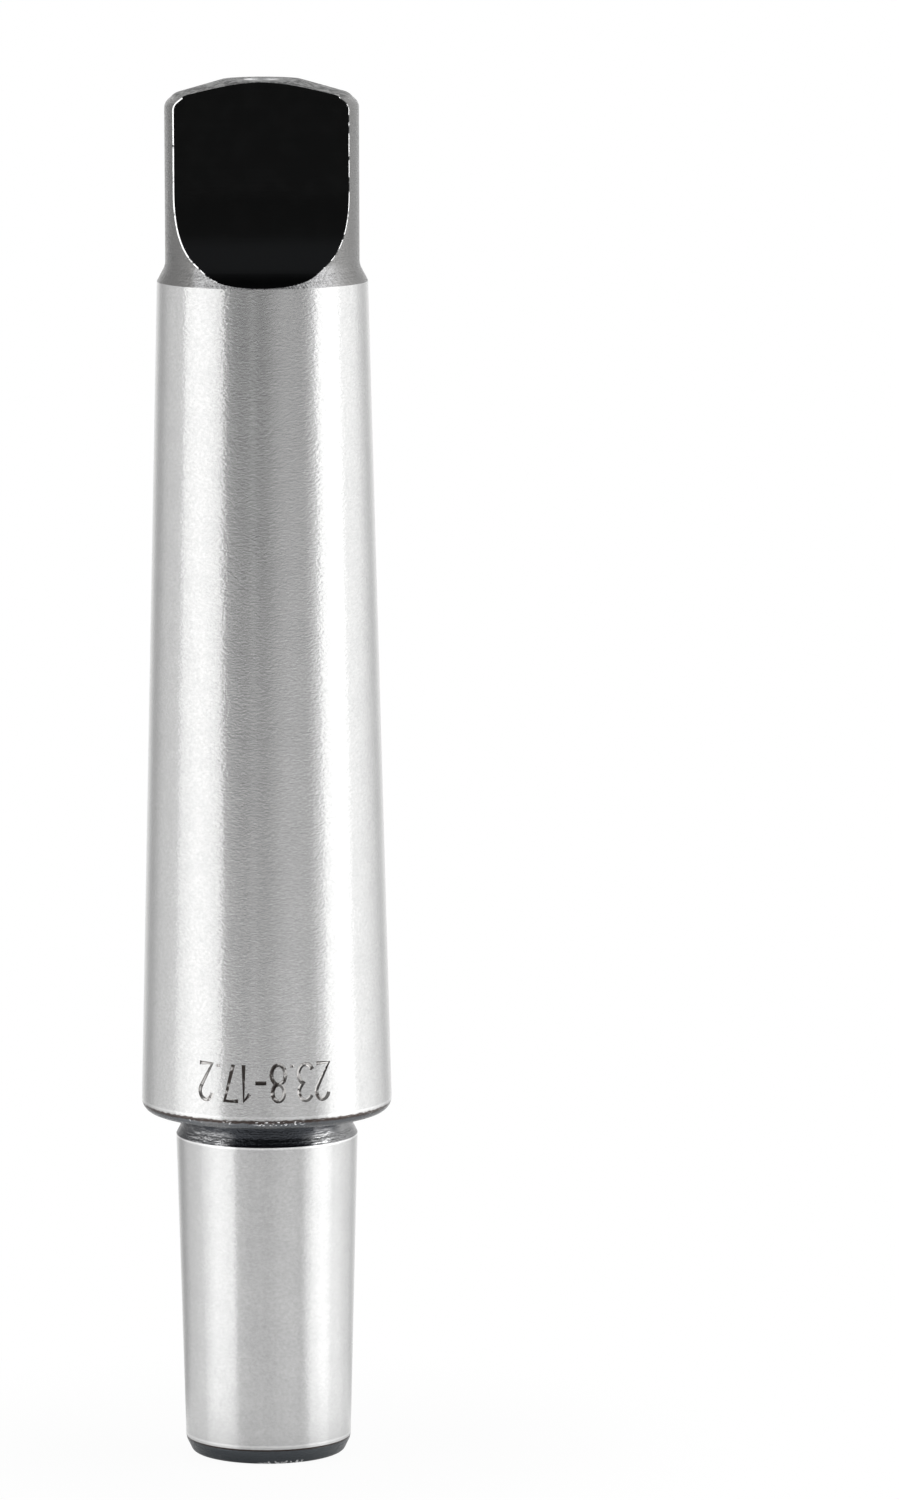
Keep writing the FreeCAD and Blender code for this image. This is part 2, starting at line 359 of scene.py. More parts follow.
cut_away(arbor, new_piece("mark_cutter", bm, ARBOR_FINISHES))


# How far a stoned edge has turned from the flat towards the tang's side: at its rim, inside
# the first strip and inside the second.
RIM_TURN = 1.0
NEXT_TURN = 0.5
LAST_TURN = 0.4


def true_normal(spot, finish, face_normal, edge_turn):
    """The real surface's normal on the ground tapers and on the rounded, stoned edges."""
    outward = Vector((spot.x, spot.y, 0)).normalized()
    if finish == GROUND:
        on_chuck_taper = spot.z < SHOULDER_HEIGHT * MM
        ratio = CHUCK_TAPER_RATIO if on_chuck_taper else -SHANK_TAPER_RATIO
        return (outward - Vector((0, 0, 0.5 / ratio))).normalized()
    return face_normal.lerp(outward, edge_turn).normalized()


def smooth_with_true_normals(piece):
    """Smooth the piece, with the normals of the real surfaces where the mesh only nears them."""
    piece.data.shade_smooth()
    piece.data.set_sharp_from_angle(angle=math.radians(35))
    weighted = piece.modifiers.new("weighted_normals", "WEIGHTED_NORMAL")
    weighted.mode = "FACE_AREA"
    weighted.keep_sharp = True
    keep_modifiers(piece)
    mesh = piece.data
    rim_verts = set()
    for face in mesh.polygons:
        if face.material_index == BLACKED:
            rim_verts.update(face.vertices)
    next_verts = set()
    for face in mesh.polygons:
        if face.material_index == WORN and not rim_verts.isdisjoint(face.vertices):
            next_verts.update(face.vertices)
    normals = [Vector(corner.vector) for corner in mesh.corner_normals]
    for face in mesh.polygons:
        if face.material_index in (GROUND, WORN):
            for corner in face.loop_indices:
                vert = mesh.loops[corner].vertex_index
                edge_turn = RIM_TURN if vert in rim_verts else NEXT_TURN if vert in next_verts else LAST_TURN
                normals[corner] = true_normal(
                    mesh.vertices[vert].co, face.material_index, Vector(face.normal), edge_turn)
    mesh.normals_split_custom_set(normals)


smooth_with_true_normals(arbor)
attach(arbor, "root")
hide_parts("arbor")


# The finishes. The tapers are ground across the axis, so their fine marks run round the arbor
# and spread a reflection along it. Everything else keeps the thin black oxide of the blank,
# which is glossy at a glance and shows the turning lines underneath.
def add_node(tree, kind, inputs=None, **settings):
    """A node with these settings, whose inputs are values or other nodes' outputs."""
    node = tree.nodes.new(kind)
    for name, value in settings.items():
        setattr(node, name, value)
    for name, value in (inputs or {}).items():
        if isinstance(value, bpy.types.NodeSocket):
            tree.links.new(value, node.inputs[name])
        else:
            node.inputs[name].default_value = value
    return node


def new_group(name, inputs, outputs):
    """A node group with number inputs, a vector input and number outputs, and its end nodes."""
    tree = bpy.data.node_groups.new(name, "ShaderNodeTree")
    tree.interface.new_socket("Vector", in_out="INPUT", socket_type="NodeSocketVector")
    for socket, value in inputs.items():
        made = tree.interface.new_socket(socket, in_out="INPUT", socket_type="NodeSocketFloat")
        made.default_value = value
    for socket in outputs:
        tree.interface.new_socket(socket, in_out="OUTPUT", socket_type="NodeSocketFloat")
    return tree, tree.nodes.new("NodeGroupInput").outputs, tree.nodes.new("NodeGroupOutput").inputs


def build_tool_lines():
    """Fine lines round the axis, as a lathe or a grinding wheel leaves them.

    Length and Width are a line's usual size in millimetres.
    """
    tree, given, result = new_group(
        "tool_lines", {"Length": 1.0, "Width": 0.1, "Detail": 2.0}, ["Height"])
    around = add_node(tree, "ShaderNodeMath", {0: 1000.0, 1: given["Length"]}, operation="DIVIDE")
    along = add_node(tree, "ShaderNodeMath", {0: 1000.0, 1: given["Width"]}, operation="DIVIDE")
    scale = add_node(tree, "ShaderNodeCombineXYZ", {
        "X": around.outputs[0], "Y": around.outputs[0], "Z": along.outputs[0]})
    stretched = add_node(tree, "ShaderNodeVectorMath", {
        0: given["Vector"], 1: scale.outputs[0]}, operation="MULTIPLY")
    lines = add_node(tree, "ShaderNodeTexNoise", {
        "Vector": stretched.outputs[0], "Scale": 1.0, "Detail": given["Detail"], "Roughness": 0.6})
    tree.links.new(lines.outputs["Fac"], result["Height"])
    return tree


def build_patches():
    """Patches of one size in millimetres, from a threshold up, with soft or crisp edges."""
    tree, given, result = new_group("patches", {
        "Size": 1.0, "Threshold": 0.5, "Softness": 0.1, "Stretch": 1.0, "Detail": 2.0}, ["Mask"])
    across = add_node(tree, "ShaderNodeMath", {0: 1000.0, 1: given["Size"]}, operation="DIVIDE")
    along = add_node(tree, "ShaderNodeMath", {
        0: across.outputs[0], 1: given["Stretch"]}, operation="MULTIPLY")
    scale = add_node(tree, "ShaderNodeCombineXYZ", {
        "X": across.outputs[0], "Y": across.outputs[0], "Z": along.outputs[0]})
    spread = add_node(tree, "ShaderNodeVectorMath", {
        0: given["Vector"], 1: scale.outputs[0]}, operation="MULTIPLY")
    noise = add_node(tree, "ShaderNodeTexNoise", {
        "Vector": spread.outputs[0], "Scale": 1.0, "Detail": given["Detail"], "Roughness": 0.55})
    full = add_node(tree, "ShaderNodeMath", {
        0: given["Threshold"], 1: given["Softness"]}, operation="ADD")
    mask = add_node(tree, "ShaderNodeMapRange", {
        "Value": noise.outputs["Fac"], "From Min": given["Threshold"], "From Max": full.outputs[0]},
        interpolation_type="SMOOTHSTEP")
    tree.links.new(mask.outputs["Result"], result["Mask"])
    return tree


def build_ring_line():
    """An uneven thin line round the arbor at one height, in millimetres."""
    tree, given, result = new_group(
        "ring_line", {"Height": 34.0, "Width": 0.2, "Wander": 0.1, "Wander Length": 1.0}, ["Mask"])
    split = add_node(tree, "ShaderNodeSeparateXYZ", {0: given["Vector"]})
    height = add_node(tree, "ShaderNodeMath", {0: split.outputs["Z"], 1: 1000.0}, operation="MULTIPLY")
    around = add_node(tree, "ShaderNodeMath", {0: 1000.0, 1: given["Wander Length"]}, operation="DIVIDE")
    noise = add_node(tree, "ShaderNodeTexNoise", {
        "Vector": given["Vector"], "Scale": around.outputs[0], "Detail": 3.0})
    middle = add_node(tree, "ShaderNodeMath", {0: noise.outputs["Fac"], 1: 0.5}, operation="SUBTRACT")
    wander = add_node(tree, "ShaderNodeMath", {
        0: middle.outputs[0], 1: given["Wander"], 2: height.outputs[0]}, operation="MULTIPLY_ADD")
    away = add_node(tree, "ShaderNodeMath", {
        0: wander.outputs[0], 1: given["Height"]}, operation="SUBTRACT")
    distance = add_node(tree, "ShaderNodeMath", {0: away.outputs[0]}, operation="ABSOLUTE")
    half = add_node(tree, "ShaderNodeMath", {0: given["Width"], 1: 0.5}, operation="MULTIPLY")
    mask = add_node(tree, "ShaderNodeMapRange", {
        "Value": distance.outputs[0], "From Min": 0.0, "From Max": half.outputs[0], "To Min": 1.0,
        "To Max": 0.0}, interpolation_type="SMOOTHSTEP")
    tree.links.new(mask.outputs["Result"], result["Mask"])
    return tree


tool_lines = build_tool_lines()
patches = build_patches()
ring_line = build_ring_line()


def start_material(material):
    """An emptied node tree with its own shader and object coordinates."""
    material.use_nodes = True
    tree = material.node_tree
    tree.nodes.clear()
    shader = tree.nodes.new("ShaderNodeBsdfPrincipled")
    output = tree.nodes.new("ShaderNodeOutputMaterial")
    tree.links.new(shader.outputs["BSDF"], output.inputs["Surface"])
    place = tree.nodes.new("ShaderNodeTexCoord").outputs["Object"]
    return tree, shader, place


def add_group(tree, group, place, **values):
    """One of the shared effects, placed in a material with its own values."""
    node = tree.nodes.new("ShaderNodeGroup")
    node.node_tree = group
    tree.links.new(place, node.inputs["Vector"])
    for name, value in values.items():
        node.inputs[name.replace("_", " ")].default_value = value
    return node.outputs[0]


def blend_colour(tree, mask, first, second):
    """One colour or the other, by a mask. Either may be another node's output."""
    return add_node(tree, "ShaderNodeMix", {0: mask, 6: first, 7: second}, data_type="RGBA").outputs[2]


def blend_value(tree, mask, first, second):
    return add_node(tree, "ShaderNodeMix", {0: mask, 2: first, 3: second}, data_type="FLOAT").outputs[0]


def scaled(tree, value, factor):
    return add_node(tree, "ShaderNodeMath", {0: value, 1: factor}, operation="MULTIPLY").outputs[0]


def add_values(tree, first, second):
    return add_node(tree, "ShaderNodeMath", {0: first, 1: second}, operation="ADD").outputs[0]


def multiplied(tree, first, second):
    return add_node(tree, "ShaderNodeMath", {0: first, 1: second}, operation="MULTIPLY").outputs[0]


def larger_of(tree, first, second):
    return add_node(tree, "ShaderNodeMath", {0: first, 1: second}, operation="MAXIMUM").outputs[0]


def ramp_value(tree, value, start, end):
    """0 up to start and 1 from end on, with a smooth step between them."""
    ramp = add_node(tree, "ShaderNodeMapRange", {
        "Value": value, "From Min": start, "From Max": end}, interpolation_type="SMOOTHSTEP")
    return ramp.outputs["Result"]


def band_mask(tree, height, low, high, fade):
    """1 between two places, in millimetres, fading out over the given distance."""
    above = ramp_value(tree, height, low - fade, low)
    below = ramp_value(tree, height, high + fade, high)
    return multiplied(tree, above, below)


def shade_by_bearing(tree, place, shades):
    """A grey that depends on the bearing round the arbor, from (degrees, level) pairs.

    0 degrees is the camera's side and the left is negative.
    """
    split = add_node(tree, "ShaderNodeSeparateXYZ", {0: place})
    toward_camera = scaled(tree, split.outputs["Y"], -1.0)
    bearing = add_node(tree, "ShaderNodeMath", {
        0: split.outputs["X"], 1: toward_camera}, operation="ARCTAN2").outputs[0]
    turn = add_node(tree, "ShaderNodeMapRange", {
        "Value": bearing, "From Min": -math.pi, "From Max": math.pi}).outputs["Result"]
    shade = add_node(tree, "ShaderNodeValToRGB", {0: turn})
    brightest = max(level for degrees, level in shades)
    shade.color_ramp.interpolation = "EASE"
    while len(shade.color_ramp.elements) < len(shades):
        shade.color_ramp.elements.new(0.5)
    for stop, (degrees, level) in zip(shade.color_ramp.elements, shades):
        stop.position = (degrees + 180) / 360
        stop.color = (level / brightest, level / brightest, level / brightest, 1)
    full = add_node(tree, "ShaderNodeVectorMath", {
        0: shade.outputs["Color"], "Scale": brightest}, operation="SCALE")
    return full.outputs[0]


STEEL = (0.71, 0.71, 0.705, 1)
BURR_GLINT_STEEL = (0.92, 0.92, 0.92, 1)
DULL_STEEL = (0.61, 0.61, 0.61, 1)
DARK_LINE = (0.49, 0.49, 0.49, 1)
BLUE_BLACK = (0.122, 0.130, 0.140, 1)
GREY_BLACK = (0.155, 0.157, 0.16, 1)
GROOVE_LIT_BLACK = (0.24, 0.242, 0.245, 1)
TANG_GREY = (0.20, 0.198, 0.195, 1)
GROOVE_SHADE_BLACK = (0.045, 0.048, 0.054, 1)
FOOT_SHADE_BLACK = (0.081, 0.089, 0.097, 1)
FOOT_LIT_GREY = (0.112, 0.120, 0.127, 1)
GROOVE_EDGE_SHADE_BLACK = (0.008, 0.008, 0.012, 1)
CORNER_SHADE_BLACK = (0.055, 0.058, 0.062, 1)
CONE_HIGHLIGHT_STEEL = (0.43, 0.43, 0.435, 1)
NICK_AND_HIGHLIGHT_STEEL = (0.85, 0.85, 0.86, 1)
CROWN_BLACK = (0.12, 0.12, 0.12, 1)
CROWN_GREY = (0.36, 0.36, 0.355, 1)
BROWN_BLACK = (0.045, 0.031, 0.026, 1)
LAPPED_STEEL = (0.75, 0.75, 0.75, 1)
FLAT_BLACK = (0.034, 0.035, 0.035, 1)
STAIN_BROWN = (0.045, 0.028, 0.022, 1)
BRIGHT_EDGE = (0.9, 0.9, 0.9, 1)
CLEAN_STROKE = (0.44, 0.43, 0.42, 1)
DIRT_AND_SHADE_BROWN = (0.05, 0.042, 0.038, 1)

# Ground steel: short fine lines round the axis, coarser in one place low on the shank, with
# thin burrs at the ground edges painted bright as their highlights, and a dark stain where the
# grinding stops.
tree, shader, place = start_material(ground_steel)
fine_lines = add_group(tree, tool_lines, place, Length=0.35, Width=0.2, Detail=1.0)
ticks = add_group(tree, tool_lines, place, Length=0.6, Width=0.2, Detail=2.0)
grain = add_group(tree, patches, place, Size=0.3, Threshold=0.38, Softness=0.24, Detail=3.0)
clouding = add_group(tree, patches, place, Size=3.0, Threshold=0.35, Softness=0.35)
lower_stain = add_group(
    tree, ring_line, place, Height=GROUND_EDGE + 0.04, Width=0.38, Wander=0.3, Wander_Length=0.5)
lower_burr_glint = add_group(tree, ring_line, place, Height=GROUND_EDGE + 0.38, Width=0.36)
chuck_burr_glint = add_group(tree, ring_line, place, Height=RELIEF_BOTTOM - 0.1, Width=0.36)
end_burr_glint = add_group(tree, ring_line, place, Height=END_GROUND_EDGE + 0.28, Width=0.36)
height = scaled(tree, add_node(tree, "ShaderNodeSeparateXYZ", {0: place}).outputs["Z"], 1 / MM)
coarse_zone = band_mask(tree, height, 41, 49, 5)
on_shank_taper = ramp_value(tree, height, RELIEF_BOTTOM, GROUND_EDGE)
dullness = add_values(tree, scaled(tree, clouding, 0.35), blend_value(tree, on_shank_taper, 0.45, 0.0))
steel = blend_colour(tree, dullness, STEEL, DULL_STEEL)
steel = blend_colour(tree, scaled(tree, fine_lines, 0.55), steel, DARK_LINE)
grain_shown = multiplied(tree, grain, blend_value(tree, on_shank_taper, 0.08, 0.16))
steel = blend_colour(tree, grain_shown, steel, DARK_LINE)
# Painted highlights: the burrs at the ground edges, as thin lines of brighter steel.
burr_glints = add_values(tree, chuck_burr_glint, scaled(tree, add_values(tree, lower_burr_glint, end_burr_glint), 0.5))
steel = blend_colour(tree, burr_glints, steel, BURR_GLINT_STEEL)
steel = blend_colour(tree, lower_stain, steel, STAIN_BROWN)
tree.links.new(steel, shader.inputs["Base Color"])
tree.links.new(blend_value(tree, grain, 0.215, 0.26), shader.inputs["Roughness"])
line_depth = blend_value(tree, ramp_value(tree, height, 50, 75), 1.6, 2.1)
line_depth = blend_value(tree, on_shank_taper, 0.9, line_depth)
surface = add_values(
    tree, multiplied(tree, fine_lines, line_depth), multiplied(tree, coarse_zone, ticks))
bump = add_node(tree, "ShaderNodeBump", {"Strength": 0.5, "Distance": 0.00002, "Height": surface})
tree.links.new(bump.outputs[0], shader.inputs["Normal"])
tangent = add_node(tree, "ShaderNodeTangent", direction_type="RADIAL", axis="Z")
tree.links.new(tangent.outputs[0], shader.inputs["Tangent"])
shader.inputs["Metallic"].default_value = 0.75
shader.inputs["Anisotropic"].default_value = 1.0
shader.inputs["Anisotropic Rotation"].default_value = 0.25

# Blacked steel: turned, then oxidised, nicked at its edges, and grey and specked on the tang's
# end. Painted highlights lie on the cone beside the flats and in streaks at the groove's sides;
# painted shade darkens the groove's middle, its lower edge in front, the right of the shank's
# lower corner and the foot, which is painted lighter to the right.
tree, shader, place = start_material(blacked_steel)
lathe_lines = add_group(tree, tool_lines, place, Length=14.0, Width=0.16, Detail=2.0)
streaks = add_group(tree, tool_lines, place, Length=1.0, Width=0.13, Detail=3.0)
grit = add_group(tree, patches, place, Size=0.22, Threshold=0.42, Softness=0.3)
clouding = add_group(tree, patches, place, Size=2.5, Threshold=0.45, Softness=0.2)
groove_highlight_streaks = add_group(tree, patches, place, Size=1.2, Threshold=0.44, Softness=0.16, Stretch=6.0, Detail=4.0)
specks = add_group(tree, patches, place, Size=0.3, Threshold=0.42, Softness=0.2, Detail=4.0)
nicks = add_group(tree, patches, place, Size=0.35, Threshold=0.54, Softness=0.05, Stretch=1.5, Detail=3.0)
upper_brown = add_group(
    tree, ring_line, place, Height=GROUND_EDGE - 0.06, Width=0.40, Wander=0.3, Wander_Length=0.5)
lower_brown = add_group(
    tree, ring_line, place, Height=END_GROUND_EDGE - 0.05, Width=0.36, Wander=0.1, Wander_Length=0.5)
split = add_node(tree, "ShaderNodeSeparateXYZ", {0: place})
height = scaled(tree, split.outputs["Z"], 1 / MM)
across = add_node(tree, "ShaderNodeMath", {0: split.outputs["X"]}, operation="ABSOLUTE").outputs[0]
across = scaled(tree, across, 1 / MM)
rightward = scaled(tree, split.outputs["X"], 1 / MM)
in_groove = band_mask(tree, height, RELIEF_BOTTOM, SHOULDER_HEIGHT, 0.15)
at_cone = band_mask(tree, height, SMALL_END, TANG_ROOT - 0.4, 1.4)
on_tang = ramp_value(tree, height, SMALL_END - 2, SMALL_END - 1)
at_crown = band_mask(tree, height, CROWN_RIM, TANG_END + 1, 0.4)
on_foot = band_mask(tree, height, -1, END_GROUND_EDGE, 0.3)
at_lowest = band_mask(tree, height, -1, 0.3, 0.1)
at_corner_edge = band_mask(tree, height, GROUND_EDGE - 0.35, GROUND_EDGE, 0.1)
at_corner = band_mask(tree, height, SHOULDER_HEIGHT, GROUND_EDGE, 0.1)
at_groove_edge = band_mask(tree, height, RELIEF_BOTTOM, RELIEF_BOTTOM + 0.2, 0.12)
low_in_groove = ramp_value(tree, height, SHOULDER_HEIGHT - 0.7, RELIEF_BOTTOM + 0.4)
left_lit_side = band_mask(tree, rightward, -6.3, -4.5, 1.9)
right_lit_side = band_mask(tree, rightward, 5.0, 5.9, 0.8)
by_flats = multiplied(tree, ramp_value(tree, rightward, 8.4, 5.6), ramp_value(tree, rightward, -6.8, -5.8))
oxide = blend_colour(tree, clouding, BLUE_BLACK, GREY_BLACK)
oxide = blend_colour(tree, on_tang, oxide, TANG_GREY)
# Painted light and shade in the groove: lighter oxide at its sides and low down, deep black in its middle
# and at its top.
groove_lit_side = add_values(tree, ramp_value(tree, rightward, 3.0, 5.5), scaled(tree, left_lit_side, 0.6))
groove_outside = ramp_value(tree, rightward, 6.2, 7.4)
groove_lit_side = multiplied(tree, groove_lit_side, larger_of(tree, low_in_groove, groove_outside))
groove_shading = blend_colour(tree, groove_lit_side, GROOVE_SHADE_BLACK, GROOVE_LIT_BLACK)
# Painted shade: a near-black line along the groove's lower edge, in front.
in_front = ramp_value(tree, across, 5.4, 3.6)
groove_edge_shading = scaled(tree, multiplied(tree, at_groove_edge, in_front), 0.8)
groove_shading = blend_colour(tree, groove_edge_shading, groove_shading, GROOVE_EDGE_SHADE_BLACK)
# Painted shade: the shank's lower corner, darker towards the right.
corner_shade = scaled(tree, multiplied(tree, at_corner, ramp_value(tree, rightward, 2.5, 5.0)), 0.7)
oxide = blend_colour(tree, corner_shade, oxide, CORNER_SHADE_BLACK)
oxide = blend_colour(tree, in_groove, oxide, groove_shading)
# Painted shade and light: the foot darker than the rest of the oxide, and lighter towards the right.
foot_shading = blend_colour(tree, ramp_value(tree, rightward, 2.0, 7.0), FOOT_SHADE_BLACK, FOOT_LIT_GREY)
oxide = blend_colour(tree, on_foot, oxide, foot_shading)
crown_specks = add_group(tree, patches, place, Size=0.55, Threshold=0.45, Softness=0.12, Detail=4.0)
oxide = blend_colour(tree, at_crown, oxide, blend_colour(tree, crown_specks, CROWN_BLACK, CROWN_GREY))
browning = add_values(tree, upper_brown, lower_brown)
oxide = blend_colour(tree, browning, oxide, BROWN_BLACK)
# Painted highlights: streaks of bright steel at the groove's sides, mostly low down and on the right.
highlight_sides = add_values(tree, right_lit_side, scaled(tree, left_lit_side, 0.5))
highlight_sides = multiplied(tree, highlight_sides, blend_value(tree, low_in_groove, 0.12, 1.0))
groove_highlights = multiplied(tree, multiplied(tree, in_groove, groove_highlight_streaks), highlight_sides)
oxide = blend_colour(tree, groove_highlights, oxide, NICK_AND_HIGHLIGHT_STEEL)
# Painted highlight: bright speckled steel on the cone beside the flats.
uneven = add_values(tree, scaled(tree, specks, 0.5), 0.5)
cone_highlight = multiplied(tree, multiplied(tree, at_cone, uneven), by_flats)
oxide = blend_colour(tree, cone_highlight, oxide, CONE_HIGHLIGHT_STEEL)
nick_places = add_group(tree, patches, place, Size=3.5, Threshold=0.54, Softness=0.05)
nick_places = add_values(tree, scaled(tree, nick_places, 0.4), band_mask(tree, rightward, -0.4, 3.2, 0.8))
nicks = multiplied(tree, nicks, nick_places)
nicked_edges = larger_of(tree, at_lowest, at_corner_edge)
oxide = blend_colour(tree, multiplied(tree, nicked_edges, nicks), oxide, NICK_AND_HIGHLIGHT_STEEL)
flat_place = add_node(tree, "ShaderNodeCombineXYZ", {"X": split.outputs["X"], "Y": split.outputs["Y"]})
from_axis = add_node(tree, "ShaderNodeVectorMath", {0: flat_place.outputs[0]}, operation="LENGTH")
from_axis = scaled(tree, from_axis.outputs["Value"], 1 / MM)
in_tang_centre = ramp_value(tree, from_axis, TANG_CENTRE_MOUTH + 0.1, TANG_CENTRE_MOUTH)
in_chuck_centre = multiplied(
    tree, ramp_value(tree, from_axis, CHUCK_CENTRE_MOUTH + 0.1, CHUCK_CENTRE_MOUTH), on_foot)
lapped = larger_of(tree, in_tang_centre, in_chuck_centre)
oxide = blend_colour(tree, lapped, oxide, LAPPED_STEEL)
tree.links.new(oxide, shader.inputs["Base Color"])
roughness = blend_value(tree, grit, 0.15, 0.26)
roughness = blend_value(tree, cone_highlight, roughness, 0.34)
tree.links.new(blend_value(tree, at_crown, roughness, 0.5), shader.inputs["Roughness"])
surface = add_values(tree, lathe_lines, streaks)
surface = add_values(tree, surface, scaled(tree, grit, 0.4))
relief = blend_value(tree, at_cone, 0.7, 0.55)
bump = add_node(tree, "ShaderNodeBump", {"Strength": relief, "Distance": 0.00011, "Height": surface})
tree.links.new(bump.outputs[0], shader.inputs["Normal"])
shader.inputs["Metallic"].default_value = 1.0

# The milled flats: smooth, deep black, with faint cutter lines across them.
tree, shader, place = start_material(milled_flat)
sheen = add_group(tree, patches, place, Size=1.8, Threshold=0.4, Softness=0.3)
cutter_lines = add_group(tree, tool_lines, place, Length=20.0, Width=0.5, Detail=3.0)
shader.inputs["Base Color"].default_value = FLAT_BLACK
tree.links.new(blend_value(tree, sheen, 0.22, 0.25), shader.inputs["Roughness"])
bump = add_node(tree, "ShaderNodeBump", {"Strength": 0.25, "Distance": 0.00004, "Height": cutter_lines})
tree.links.new(bump.outputs[0], shader.inputs["Normal"])
shader.inputs["Metallic"].default_value = 1.0

# The worn edge: bare bright steel, broken up more towards the root and on the right hand.
tree, shader, place = start_material(worn_edge)
worn = add_group(tree, patches, place, Size=0.8, Softness=0.10, Detail=4.0)
chatter = add_group(tree, tool_lines, place, Length=0.5, Width=0.15, Detail=2.0)
split = add_node(tree, "ShaderNodeSeparateXYZ", {0: place})
threshold = add_node(tree, "ShaderNodeMapRange", {
    "Value": split.outputs["Z"], "From Min": SMALL_END * MM, "From Max": (SMALL_END + 3) * MM,
    "To Min": 0.60, "To Max": 0.30})
side = multiplied(tree, split.outputs["X"], scaled(tree, split.outputs["Y"], -1.0))
right_hand = scaled(tree, ramp_value(tree, side, 0, 0.000001), 0.10)
threshold = add_values(tree, threshold.outputs["Result"], right_hand)
tree.links.new(threshold, worn.node.inputs["Threshold"])
colour = blend_colour(tree, worn, FLAT_BLACK, BRIGHT_EDGE)
tree.links.new(colour, shader.inputs["Base Color"])
tree.links.new(blend_value(tree, chatter, 0.2, 0.35), shader.inputs["Roughness"])
shader.inputs["Metallic"].default_value = 1.0
bump = add_node(tree, "ShaderNodeBump", {"Strength": 0.4, "Distance": 0.00004, "Height": chatter})
tree.links.new(bump.outputs[0], shader.inputs["Normal"])

# The engraved strokes: bare steel that holds dirt, with painted shade as more dark brown in the middle of
# the mark.
tree, shader, place = start_material(engraved_groove)
dirt_and_shade = add_group(tree, patches, place, Size=0.6, Softness=0.14, Detail=3.0)
rightward = scaled(tree, add_node(tree, "ShaderNodeSeparateXYZ", {0: place}).outputs["X"], 1 / MM)
# Painted shade: the strokes in the middle of the mark get more of the dark brown.
dirt_and_shade_middle = band_mask(tree, rightward, -3.2, 0.6, 1.4)
tree.links.new(blend_value(tree, dirt_and_shade_middle, 0.50, 0.32), dirt_and_shade.node.inputs["Threshold"])
colour = blend_colour(tree, dirt_and_shade, CLEAN_STROKE, DIRT_AND_SHADE_BROWN)
tree.links.new(colour, shader.inputs["Base Color"])
tree.links.new(blend_value(tree, dirt_and_shade, 1.0, 0.6), shader.inputs["Metallic"])
tree.links.new(blend_value(tree, dirt_and_shade, 0.2, 0.35), shader.inputs["Roughness"])

# The sweep that the arbor stands on and in front of: pale card, rising in a curve behind.
# It shows white to the camera. In the metal it shows painted light, glowing brighter towards
# the soft boxes and dimmer behind them, and white with its real shading near the foot. It keeps
# the arbor's shadow, is clear from behind, and lies a hair under the end face, so that the two
# aren't in one plane.
SWEEP_FRONT = 0.42
SWEEP_BACK = 1.3
SWEEP_HALF_WIDTH = 1.6
SWEEP_HEIGHT = 1.8
SWEEP_CURVE = 0.5
UNDER_FACE = 0.02

bm = bmesh.new()
corners = [
    (-SWEEP_FRONT / MM, -UNDER_FACE, 0),
    (SWEEP_BACK / MM, -UNDER_FACE, SWEEP_CURVE / MM),
    (SWEEP_BACK / MM, SWEEP_HEIGHT / MM, 0),
]


def at_left_side(across, height):
    return (-SWEEP_HALF_WIDTH, across, height)


rounded_chain(bm, corners, at_left_side, segments=24)
extruded = bmesh.ops.extrude_edge_only(bm, edges=bm.edges[:])["geom"]
bmesh.ops.translate(
    bm, verts=[item for item in extruded if isinstance(item, bmesh.types.BMVert)],
    vec=(2 * SWEEP_HALF_WIDTH, 0, 0))
bmesh.ops.recalc_face_normals(bm, faces=bm.faces[:])
if sum(face.normal.z * face.calc_area() for face in bm.faces) < 0:
    bmesh.ops.reverse_faces(bm, faces=bm.faces[:])
pale_card = bpy.data.materials.new("pale_card")
sweep = new_piece("sweep", bm, [pale_card])
sweep.data.shade_smooth()

# How much of the shadow the card shows, away from the foot and under it. Distances from the
# arbor's axis are in metres.
SHADOW_KEPT = 0.045
FOOT_SHADOW_KEPT = 0.8
FOOT_SHADOW_ENDS = (0.008, 0.016)
SEEN_SHADOW_ENDS = (0.015, 0.05)
SHADES_BEGIN = (0.012, 0.03)
CARD = (0.9, 0.9, 0.9, 1)
WHITE = (1, 1, 1, 1)
# Painted light on the card that only the metal sees, by bearing: brighter than white towards the soft boxes,
# dimmer behind them.
SWEEP_PAINTED_LIGHT = [
    (-180, 1.0), (-165, 0.95), (-140, 0.5), (-112, 0.95), (-90, 1.2), (-65, 1.85), (-45, 1.75), (-35, 1.2),
    (-12, 1.08), (0, 1.06), (17, 1.14), (30, 1.18), (44, 1.1), (54, 1.7), (75, 2.0), (95, 1.55),
    (125, 1.1), (145, 0.75), (165, 0.95), (180, 1.0)]
tree, shader, place = start_material(pale_card)
shader.inputs["Base Color"].default_value = CARD
shader.inputs["Roughness"].default_value = 0.6
card_output = next(node for node in tree.nodes if node.type == "OUTPUT_MATERIAL")
rays = tree.nodes.new("ShaderNodeLightPath")
spot = add_node(tree, "ShaderNodeSeparateXYZ", {0: place})
flat_spot = add_node(tree, "ShaderNodeCombineXYZ", {"X": spot.outputs["X"], "Y": spot.outputs["Y"]})
from_axis = add_node(tree, "ShaderNodeVectorMath", {0: flat_spot.outputs[0]}, operation="LENGTH")
from_axis = from_axis.outputs["Value"]
off_foot = ramp_value(tree, from_axis, *FOOT_SHADOW_ENDS)
in_metal = blend_value(tree, off_foot, 1 - FOOT_SHADOW_KEPT, 1 - SHADOW_KEPT)
in_metal = multiplied(tree, rays.outputs["Is Glossy Ray"], in_metal)
seen = larger_of(tree, rays.outputs["Is Camera Ray"], rays.outputs["Is Transmission Ray"])
past_shadow = ramp_value(tree, from_axis, *SEEN_SHADOW_ENDS)
